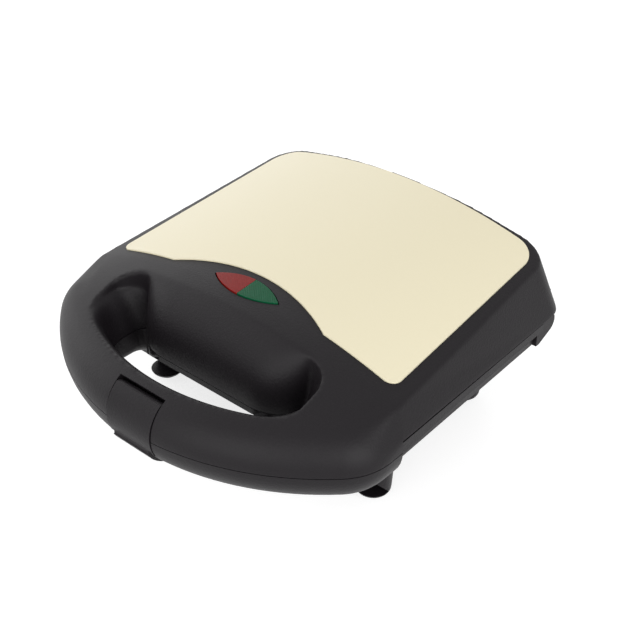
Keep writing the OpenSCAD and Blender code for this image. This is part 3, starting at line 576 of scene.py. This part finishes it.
def onRim(a, b, level, ahead):
    # both ends of an edge at this height, on the outer rim and clear of the latch
    flat = abs(a.z - level) < 1e-5 and abs(b.z - level) < 1e-5
    clear = abs(a.x) > clip["half"] + spare or a.y > 0
    outer = lambda c: abs(c.x) > sideX - rim["side"] or c.y < frontY + rim["front"] or c.y > rearY - rim["rear"]
    return flat and clear and outer(a) and outer(b) and softRim(a, ahead) and softRim(b, ahead)


def makeLid():
    lid = wrapped(joined("lidHousing", handleTube(), lidBlock(), fallGrid()))
    opening = handOpening()
    combine(opening, fingerBarrel(), solver="EXACT")
    combine(lid, opening, solver="EXACT")
    modify(lid, "REMESH", mode="VOXEL", voxel_size=form["voxel"])
    modify(lid, "SMOOTH", factor=0.5, iterations=8)
    print("lid form smoothed:", len(lid.data.polygons), "faces")
    w, skirt = form["wall"], form["skirt"]
    combine(lid, block("below", (-away, -away, 0), (away, stepY, lidLow)))
    combine(lid, block("underSkirt", (-away, stepY, 0), (away, away, skirt)))
    under, tall = 10 * spare, form["roomHigh"]
    room = taperedBlock("room", sideX - w, plateFront - spare, rearY - w, skirt - under, skirt + tall,
        tall * form["sideFlare"], tall * form["rearFlare"], form["rearCorner"] - w)
    combine(room, crownCylinder(-w - panel["thick"]), "INTERSECT", "EXACT")
    combine(lid, room)
    for side in (-1, 1):
        combine(lid, handleHollow(side))
    lampX, lampY = lens["half"] + lens["lampSide"], lens["wide"] + w
    lamps = block("lampRoom", (-lampX, lensY - lampY, skirt + lens["lampOver"]), (lampX, lensY + lampY, lensHigh))
    combine(lid, combine(lamps, crownCylinder(-w), "INTERSECT", "EXACT"))
    seat = panelPlan("seat", panel["gap"])
    combine(lid, combine(seat, crownCylinder(panel["proud"] - panel["thick"] - panel["gap"]), solver="EXACT"))
    combine(lid, lensPlan("lensSlot", panel["gap"]))
    combine(lid, clipRoom())
    reach = clip["half"] + clip["pinReach"]
    combine(lid, rod("pinHole", clip["pin"] + pinFit, (-reach, pivotY, pivotZ), (reach, pivotY, pivotZ), 48))
    print("lid cut out:", len(lid.data.polygons), "faces")
    for x, y in postPlaces:
        post = rod("post", plate["postRadius"], (x, y, postLow + plate["seat"]), (x, y, lensHigh), 48)
        combine(post, crownCylinder(-panel["thick"] - plate["postSeat"]), "INTERSECT", "EXACT")
        combine(lid, post, "UNION")
        low, high = postLow - spare, postLow + plate["screwDeep"]
        combine(lid, rod("screwHole", plate["screw"] + plate["screwRoom"], (x, y, low), (x, y, high), 32))
    for s in (-1, 1):
        x0, x1 = sorted((s * lidKnuckleX, s * (lidKnuckleX + hinge["lidWide"])))
        r, top = hinge["radius"], skirt + hinge["web"]
        knuckle = rod("knuckle", r, (x0, hingeY, hingeZ), (x1, hingeY, hingeZ))
        combine(knuckle, block("web", (x0, hingeY - r, hingeZ), (x1, hingeY + r, top)), "UNION")
        combine(knuckle, block("arm", (x0, hingeY - r, skirt), (x1, rearY - w, top)), "UNION")
        bore = rod("pinRoom", hinge["pin"] + pinFit, (x0 - spare, hingeY, hingeZ), (x1 + spare, hingeY, hingeZ), 48)
        combine(knuckle, bore)
        combine(lid, knuckle, "UNION")
    # soft edges along the parting line and the skirt
    for level, ahead, soft in ((lidLow, True, form["rimEdge"]), (skirt, False, form["skirtEdge"])):
        edit(lid, "EDGE", lambda a, b: onRim(a, b, level, ahead))
        bpy.ops.mesh.bevel(offset=soft, segments=3, affect="EDGES", clamp_overlap=True)
        objectMode()
    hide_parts("lid_shell")
    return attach(smooth(lid), "lid")


# the panel and what sits round it

def makePanel():
    sheet = panelPlan("creamPanel", 0)
    combine(sheet, crownCylinder(panel["proud"]), "INTERSECT", "EXACT")
    combine(sheet, crownCylinder(panel["proud"] - panel["thick"]), solver="EXACT")
    rounded(sheet, panel["edge"], 50)
    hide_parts("top_panel")
    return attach(evened(sheet), "lid")


lensCut = {"gap": 0.0005, "thick": 0.0024, "split": 0.0001, "edge": 0.00035,
    "fluteRadius": 0.0006, "flutePitch": 0.00095, "fluteTurn": 41.2, "fluteHalf": 0.03, "flutes": range(-8, 42),
    "redDepth": 0.00005, "greenDepth": 0.00014}


def makeLens(name, node, side, depth):
    # half of the pointed oval, crowned as the lid is, with fine flutes across its top
    half = lensPlan(name, -lensCut["gap"])
    combine(half, crownCylinder(lens["proud"]), "INTERSECT")
    combine(half, crownCylinder(lens["proud"] - lensCut["thick"]))
    low, high = sorted((side * lensCut["split"], -side * away))
    combine(half, block("otherHalf", (low, -away, 0), (high, away, away)))
    rounded(half, lensCut["edge"])
    r, t = lensCut["fluteRadius"], radians(lensCut["fluteTurn"])
    along = Vector((-sin(t), cos(t), 0)) * lensCut["fluteHalf"]
    top = crownAt(lensY) + lens["proud"] + r - depth
    for i in lensCut["flutes"]:
        x = side * i * lensCut["flutePitch"] / cos(t)
        slope = Vector((0, 0, along.y * tan(radians(form["crownTilt"])) - along.x * x / form["crownRadius"]))
        at = Vector((x, lensY, top - droop(x)))
        combine(half, rod("flute", r, at - along - slope, at + along + slope, 24))
    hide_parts(node)
    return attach(evened(half, 28), "lid")


# the finishes

def link(tree, out, into):
    tree.links.new(out, into)


def nodeOf(tree, kind, **inputs):
    n = tree.nodes.new("ShaderNode" + kind)
    for key, value in inputs.items():
        n.inputs[key.replace("_", " ")].default_value = value
    return n


def mathOf(tree, operation, first, second):  # second is a socket or a plain value
    n = nodeOf(tree, "Math")
    n.operation = operation
    link(tree, first, n.inputs[0])
    if isinstance(second, float):
        n.inputs[1].default_value = second
    else:
        link(tree, second, n.inputs[1])
    return n.outputs[0]


def colourMix(tree, mask, dark, light):  # dark where the mask is 0: a colour or a socket
    n = nodeOf(tree, "Mix")
    n.data_type = "RGBA"
    link(tree, mask, n.inputs["Factor"])
    n.inputs[7].default_value = (*light, 1)
    if isinstance(dark, tuple):
        n.inputs[6].default_value = (*dark, 1)
    else:
        link(tree, dark, n.inputs[6])
    return n.outputs[2]


def ranged(tree, value, low, high):  # a 0 to 1 value spread over low to high
    n = nodeOf(tree, "MapRange", To_Min=low, To_Max=high)
    link(tree, value, n.inputs["Value"])
    return n


def relief(tree, shader, height, strength):  # fine bump, in which a full step is 0.2 mm
    n = nodeOf(tree, "Bump", Strength=strength, Distance=0.0002)
    link(tree, height, n.inputs["Height"])
    link(tree, n.outputs["Normal"], shader.inputs["Normal"])


def grainGroup():
    # fine spark-eroded skin of moulded plastic: height for the bump, a speckle and a slow cloud
    tree = bpy.data.node_groups.new("mouldedGrain", "ShaderNodeTree")
    tree.interface.new_socket("Fineness", in_out="INPUT", socket_type="NodeSocketFloat").default_value = 1500
    for name in ("Height", "Speckle", "Cloud"):
        tree.interface.new_socket(name, in_out="OUTPUT", socket_type="NodeSocketFloat")
    start = tree.nodes.new("NodeGroupInput")
    end = tree.nodes.new("NodeGroupOutput")
    coords = nodeOf(tree, "TexCoord")
    fine = nodeOf(tree, "TexNoise", Detail=3.0, Roughness=0.65)
    cell = nodeOf(tree, "TexVoronoi")
    slow = nodeOf(tree, "TexNoise", Scale=22.0, Detail=3.0, Roughness=0.55)
    for n in (fine, cell, slow):
        link(tree, coords.outputs["Object"], n.inputs["Vector"])
    link(tree, start.outputs["Fineness"], fine.inputs["Scale"])
    link(tree, mathOf(tree, "MULTIPLY", start.outputs["Fineness"], 0.55), cell.inputs["Scale"])
    mix = nodeOf(tree, "Mix", Factor=0.35)
    link(tree, fine.outputs["Fac"], mix.inputs["A"])
    link(tree, cell.outputs["Distance"], mix.inputs["B"])
    link(tree, mix.outputs["Result"], end.inputs["Height"])
    link(tree, fine.outputs["Fac"], end.inputs["Speckle"])
    link(tree, slow.outputs["Fac"], end.inputs["Cloud"])
    return tree


def edgeHighlightGroup():
    # up to 1 on rounded edges, where a painted highlight goes, made uneven along them by noise, and 0 on the flats
    tree = bpy.data.node_groups.new("paintedEdgeHighlight", "ShaderNodeTree")
    tree.interface.new_socket("Edge", in_out="OUTPUT", socket_type="NodeSocketFloat")
    end = tree.nodes.new("NodeGroupOutput")
    mask = nodeOf(tree, "Attribute")
    mask.attribute_name = "paintedHighlight"
    coords = nodeOf(tree, "TexCoord")
    highlightNoise = nodeOf(tree, "TexNoise", Scale=90.0, Detail=2.0)
    link(tree, coords.outputs["Object"], highlightNoise.inputs["Vector"])
    unevenHighlight = ranged(tree, highlightNoise.outputs["Fac"], 0.45, 1)
    unevenHighlight.inputs["From Min"].default_value = 0.3
    unevenHighlight.inputs["From Max"].default_value = 0.6
    link(tree, mathOf(tree, "MULTIPLY", mask.outputs["Fac"], unevenHighlight.outputs["Result"]), end.inputs["Edge"])
    return tree


groups = {"grain": grainGroup(), "edge": edgeHighlightGroup()}


def groupNode(tree, which):
    n = tree.nodes.new("ShaderNodeGroup")
    n.node_tree = groups[which]
    return n


def startMaterial(name):
    mat = bpy.data.materials.new(name)
    mat.use_nodes = True
    tree = mat.node_tree
    return mat, tree, tree.nodes["Principled BSDF"]


def mouldedPlastic(name, dark, light, edge=None, rough=0.5, vary=0.07, bump=0.35, fineness=1500, specular=0.5):
    # textured moulding: two close tones, roughness and bump from the grain, and a painted highlight that makes
    # rounded edges brighter
    mat, tree, shader = startMaterial(name)
    grain = groupNode(tree, "grain")
    grain.inputs["Fineness"].default_value = fineness
    tone = colourMix(tree, grain.outputs["Speckle"], dark, light)
    edgeLight = groupNode(tree, "edge")
    # painted highlight: rounded edges take a brighter tone, the given one or the light tone times 1.8
    highlighted = colourMix(tree, edgeLight.outputs["Edge"], tone, edge or [c * 1.8 for c in light])
    link(tree, highlighted, shader.inputs["Base Color"])
    gloss = ranged(tree, grain.outputs["Cloud"], rough - vary, rough + vary)
    link(tree, gloss.outputs["Result"], shader.inputs["Roughness"])
    relief(tree, shader, grain.outputs["Height"], bump)
    shader.inputs["Specular IOR Level"].default_value = specular
    return mat


def paint(obj, mat):
    obj.data.materials.clear()
    obj.data.materials.append(mat)
    return obj


finish = {  # two close tones each, and for the enamel the tone of the painted highlight on its edges
    "black": mouldedPlastic("blackMoulding", (0.0052, 0.0042, 0.0052), (0.0112, 0.0092, 0.0112),
        rough=0.46, bump=0.7, fineness=1300, specular=0.19),
    "cream": mouldedPlastic("creamEnamel", (0.79, 0.725, 0.525), (0.81, 0.745, 0.545), (0.97, 0.96, 0.9),
        rough=0.34, vary=0.015, bump=0.02, fineness=700, specular=0.42),
    "red": mouldedPlastic("redLensPlastic", (0.13, 0.006, 0.005), (0.26, 0.016, 0.013),
        rough=0.3, bump=0.12, fineness=900, specular=0.12),
    "green": mouldedPlastic("greenLensPlastic", (0.002, 0.045, 0.016), (0.006, 0.11, 0.048),
        rough=0.3, bump=0.12, fineness=900, specular=0.12),
    "white": mouldedPlastic("whiteNylon", (0.68, 0.66, 0.6), (0.74, 0.72, 0.66), rough=0.45, bump=0.1, fineness=900),
    "coated": mouldedPlastic("nonStickCoating", (0.014, 0.014, 0.015), (0.03, 0.03, 0.031),
        rough=0.38, bump=0.18, fineness=1100),
    "rubber": mouldedPlastic("footRubber", (0.02, 0.02, 0.02), (0.035, 0.035, 0.035),
        rough=0.7, bump=0.3, fineness=1200),
    "ceramic": mouldedPlastic("steatite", (0.6, 0.55, 0.45), (0.7, 0.66, 0.56), rough=0.6, bump=0.2, fineness=1000),
}


def metalFinish(name, dark, light, rough, fineness=60.0, bump=0.05):
    # drawn or plated metal with marks that run one way
    mat, tree, shader = startMaterial(name)
    coords = nodeOf(tree, "TexCoord")
    way = nodeOf(tree, "Mapping", Scale=(1, 30, 30))
    link(tree, coords.outputs["Object"], way.inputs["Vector"])
    marks = nodeOf(tree, "TexNoise", Scale=fineness, Detail=4.0, Roughness=0.6)
    link(tree, way.outputs["Vector"], marks.inputs["Vector"])
    link(tree, colourMix(tree, marks.outputs["Fac"], dark, light), shader.inputs["Base Color"])
    gloss = ranged(tree, marks.outputs["Fac"], rough - 0.08, rough + 0.12)
    link(tree, gloss.outputs["Result"], shader.inputs["Roughness"])
    relief(tree, shader, marks.outputs["Fac"], bump)
    shader.inputs["Metallic"].default_value = 1
    return mat


finish["sheet"] = metalFinish("brightSheet", (0.72, 0.73, 0.75), (0.85, 0.86, 0.88), 0.3)
finish["zinc"] = metalFinish("zincPlate", (0.6, 0.61, 0.63), (0.75, 0.76, 0.78), 0.3, fineness=120.0)
finish["heater"] = metalFinish("heaterTube", (0.22, 0.2, 0.18), (0.4, 0.36, 0.32), 0.42)
finish["fuse"] = metalFinish("fuseBrass", (0.62, 0.5, 0.26), (0.78, 0.66, 0.4), 0.3)

nodeFinish = {
    "lid_shell": "black", "base_shell": "black", "latch_clip": "black", "top_panel": "cream", "red_lens": "red",
    "green_lens": "green", "lamp_holder": "white", "terminal_block": "white", "neon_lamps": "ceramic",
    "upper_plate": "coated", "lower_plate": "coated", "upper_element": "heater", "lower_element": "heater",
    "upper_reflector": "sheet", "lower_reflector": "sheet", "upper_screws": "zinc", "lower_screws": "zinc",
    "latch_pin": "zinc", "hinge_pins": "zinc", "thermostat": "ceramic", "thermal_fuse": "fuse", "foot_pads": "rubber",
}
for name, which in nodeFinish.items():
    paint(nodes[name], finish[which])

paint(makeLid(), finish["black"])
print("lid made")
paint(makePanel(), finish["cream"])
paint(makeLens("redLens", "red_lens", -1, lensCut["redDepth"]), finish["red"])
paint(makeLens("greenLens", "green_lens", 1, lensCut["greenDepth"]), finish["green"])
print("panel and lenses made")

baseCut = {"band": 0.0037, "toeIn": 0.0182, "floor": 0.0145, "underside": 0.0364, "reach": 0.093, "past": 0.004,
    "flareTop": 0.0105, "flareSide": 0.028, "flareFront": 0.009, "keep": 0.0008}


def fingerCuts():
    # the wall behind the fingers slopes back under a narrow band, and the opening's lower edge is rounded off
    past, z = baseCut["past"], baseCut["underside"]
    wallY = creaseY - form["bulge"]
    top = (wallY + 0.0002, form["seam"] - baseCut["band"])
    lean = (creaseY + baseCut["toeIn"] - top[0]) / (top[1] - baseCut["floor"])
    at = lambda height: (top[0] + lean * (top[1] - height), height)
    front = top[0] - past
    middle = bar("fingerSlope", bulgeW - spare / 2, [(front, top[1]), top, at(past), (front, past)])
    toeCut = bar("toeSlope", baseCut["reach"], [(front, z), at(z), at(past), (front, past)])
    start = form["seam"] - baseCut["flareTop"]
    flare = handRing("openingFlare", start + past)
    edit(flare)
    levels = []
    for i in range(11):
        t = pi / 2 * i / 10
        height = start - (start - z) * sin(t) if i < 10 else z - 3 * spare
        levels.append((height, baseCut["flareSide"] * (1 - cos(t)), baseCut["flareFront"] * (1 - cos(t))))
    spread(start + past, levels)
    objectMode()
    recalculated(flare)
    keep = bulgeW - spare
    combine(flare, block("keepWall", (-keep, wallY - baseCut["keep"], 0), (keep, 0.1, 0.1)))
    return [("DIFFERENCE", tool) for tool in (middle, toeCut, flare)]


ledge = {"top": 0.0625, "low": 0.0576, "out": 0.113, "wall": 0.1104, "lip": 0.0655, "frontIn": 0.0008,
    "rearEnd": 0.0968, "past": 0.12, "into": 0.002, "over": 0.0002}


def ledgeTrim():
    # the side ledge drops a little below the lid's skirt, so the slot between them shows
    start, end, over = stepY + ledge["frontIn"], ledge["rearEnd"], ledge["over"]
    wall, into, out, past, taper = ledge["wall"], ledge["into"], ledge["out"], ledge["past"], form["sideTaper"]
    slotPlan = [(wall + over, start), (past, start), (past, end + spare), (wall - taper + over, end + spare)]
    railPlan = [(wall - into, start), (out, start), (out - taper, end), (wall - taper - into, end)]
    work = []
    for s in (-1, 1):
        slot = upright("slotCut", [(s * x, y) for x, y in slotPlan], ledge["top"], ledge["lip"] + over)
        rail = upright("ledgeRail", [(s * x, y) for x, y in railPlan], ledge["low"], ledge["top"] - over / 2)
        work += [("DIFFERENCE", slot), ("UNION", rail)]
    return work


dress = {  # part: name of its dressed copy, rounding of its edges
    "base_shell": ("baseHousing", 0.0005), "latch_clip": ("latchClip", 0.0007), "foot_pads": ("footPads", 0.0008),
    "lower_plate": ("lowerPlate", 0.0005), "upper_plate": ("upperPlate", 0.0005),
    "lamp_holder": ("lampHolder", 0.0003), "terminal_block": ("terminalBlock", 0.0004),
    "thermostat": ("thermostatCan", 0.0003), "neon_lamps": ("neonLamps", 0),
    "lower_element": ("lowerElement", 0), "upper_element": ("upperElement", 0),
    "lower_reflector": ("lowerReflector", 0), "upper_reflector": ("upperReflector", 0),
    "lower_screws": ("lowerScrews", 0.0002), "upper_screws": ("upperScrews", 0.0002),
    "latch_pin": ("latchPin", 0.0002), "hinge_pins": ("hingePins", 0.0002), "thermal_fuse": ("thermalFuse", 0),
}
record = frame["record"]
bodyOf = {n: body for body, names in record["behaviour"]["bodies"].items() for n in names}
for name, (title, edge) in dress.items():
    cuts = fingerCuts() + ledgeTrim() if name == "base_shell" else ()
    piece = paint(dressed(name, title, edge, cuts), finish[nodeFinish[name]])
    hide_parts(name)
    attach(piece, bodyOf[name])
    print(title, "dressed:", len(piece.data.polygons), "faces")


# camera, floor and light

view = {"place": (0.382, -0.4047, 0.4451), "down": 34.41, "turn": 41.16, "lens": 67.7, "film": 36, "nearest": 0.01}
clearSelection()
bpy.ops.object.camera_add(location=view["place"], rotation=(radians(90 - view["down"]), 0, radians(view["turn"])))
camera = bpy.context.active_object
camera.name = "camera"
camera.data.lens = view["lens"]
camera.data.sensor_width = view["film"]
camera.data.clip_start = view["nearest"]
bpy.context.scene.camera = camera

studio = {
    "worldLight": 0.44, "floorTone": (0.5, 0.5, 0.5), "floorLift": 0.74, "floorSize": 14, "aim": (0, 0, 0.06),
    "lamps": [  # name, place, size, watts
        ("topBox", (-0.1, -0.2, 1.4), 1.5, 1.8),
        ("leftBox", (-1.3, -0.4, 0.75), 1.4, 8),
        ("rightBox", (1.35, -0.35, 0.42), 1.2, 15),
        ("frontBox", (0.2, -1.4, 0.55), 1.2, 10),
        ("backBox", (-1.2, 0.95, 0.7), 1.3, 4.5),
    ],
}


def cameraWhite(tree):
    # how much of a ray is seen by the camera, a mirror or glass
    path = nodeOf(tree, "LightPath")
    first = mathOf(tree, "MAXIMUM", path.outputs["Is Camera Ray"], path.outputs["Is Glossy Ray"])
    return mathOf(tree, "MAXIMUM", first, path.outputs["Is Transmission Ray"])


def makeStudio():
    clearSelection()
    bpy.ops.mesh.primitive_plane_add(size=studio["floorSize"], location=(0, 0, 0))
    floor = added("studioFloor")
    mat, tree, shader = startMaterial("paleFloor")
    shader.inputs["Base Color"].default_value = (*studio["floorTone"], 1)
    shader.inputs["Roughness"].default_value = 0.9
    shader.inputs["Specular IOR Level"].default_value = 0
    shader.inputs["Emission Color"].default_value = (1, 1, 1, 1)
    lift = mathOf(tree, "MULTIPLY", cameraWhite(tree), studio["floorLift"])
    link(tree, lift, shader.inputs["Emission Strength"])
    paint(floor, mat)
    world = bpy.data.worlds.new("studioWorld")
    bpy.context.scene.world = world
    world.use_nodes = True
    tree = world.node_tree
    back = tree.nodes["Background"]
    back.inputs["Color"].default_value = (1, 1, 1, 1)
    amount = ranged(tree, cameraWhite(tree), studio["worldLight"], 1)
    link(tree, amount.outputs["Result"], back.inputs["Strength"])
    for name, place, size, watts in studio["lamps"]:
        clearSelection()
        aim = (Vector(studio["aim"]) - Vector(place)).to_track_quat("-Z", "Y").to_euler()
        bpy.ops.object.light_add(type="AREA", location=place, rotation=aim)
        lamp = bpy.context.active_object
        lamp.name = name
        lamp.data.size = size
        lamp.data.energy = watts


makeStudio()
bpy.context.scene.view_settings.view_transform = "Standard"
print("studio ready")
